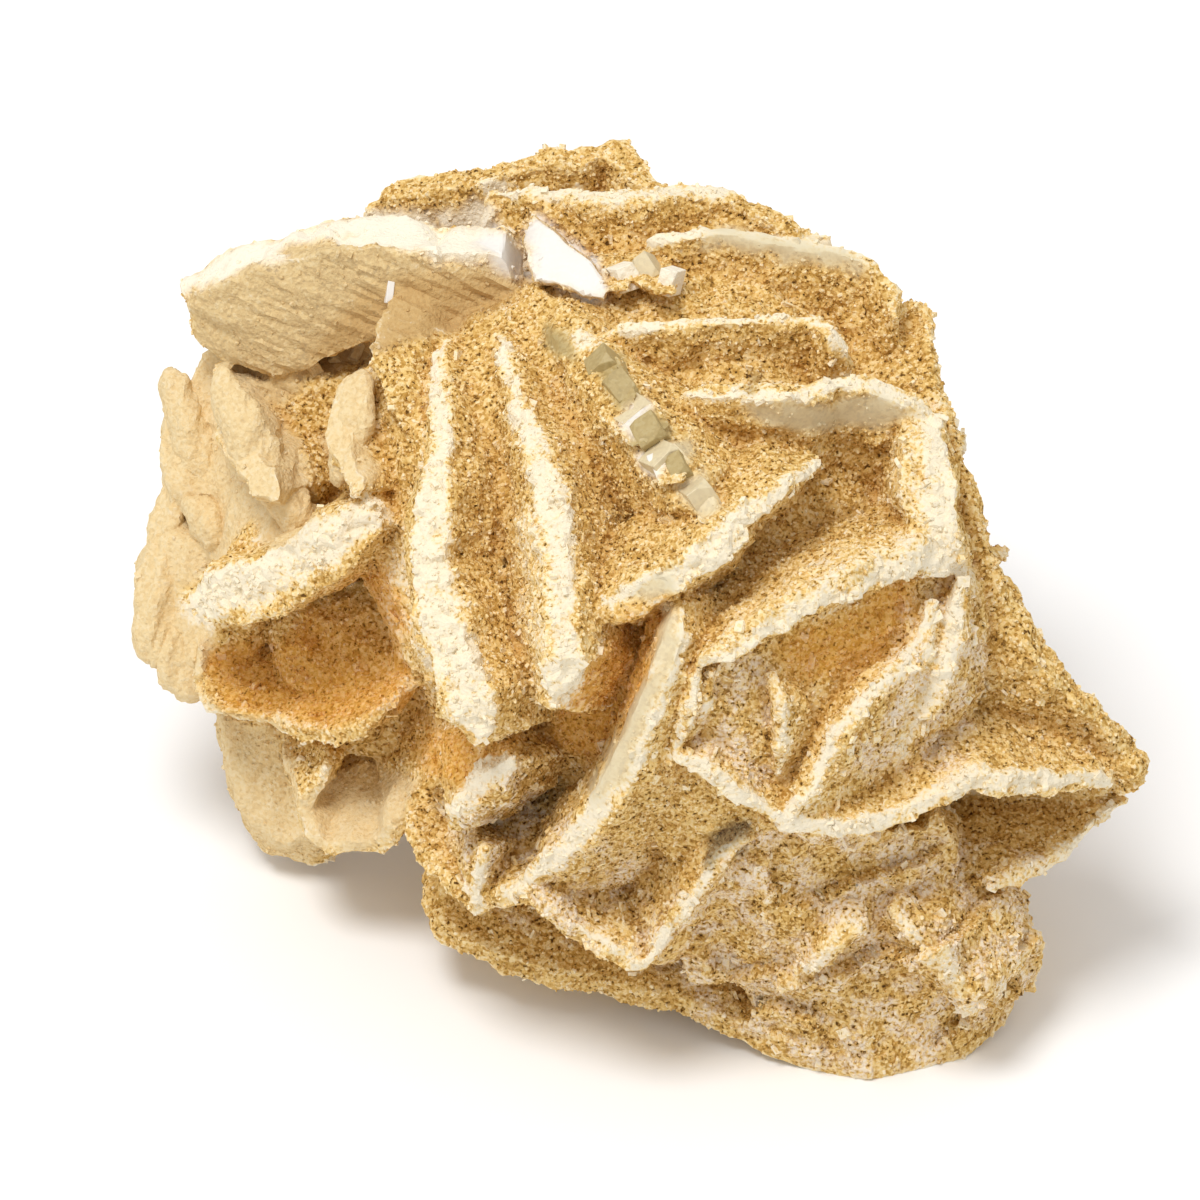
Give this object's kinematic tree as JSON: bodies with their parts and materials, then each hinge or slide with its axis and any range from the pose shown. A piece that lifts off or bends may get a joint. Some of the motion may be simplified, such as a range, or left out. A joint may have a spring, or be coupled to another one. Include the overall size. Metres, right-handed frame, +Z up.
{
  "type": "gypsum sand rose",
  "caption": "Natural sand rose: a fist-sized stone of flat gypsum blades grown through each other in sand, with crested rims, sandy hollows and a flat resting face.",
  "frame": {"origin": "on the flat resting face, straight below the middle of the stone", "axes": "+Z up from the resting face, +X along the longest extent, to the right as seen from the show side, -Y towards the viewer"},
  "size_m": [0.101, 0.0782, 0.0713],
  "materials": {
    "sandy_gypsum": "matte sandy gypsum with pale broken rims"
  },
  "bodies": {
    "root": {"sand_rose": "sandy_gypsum"}
  },
  "joints": []
}
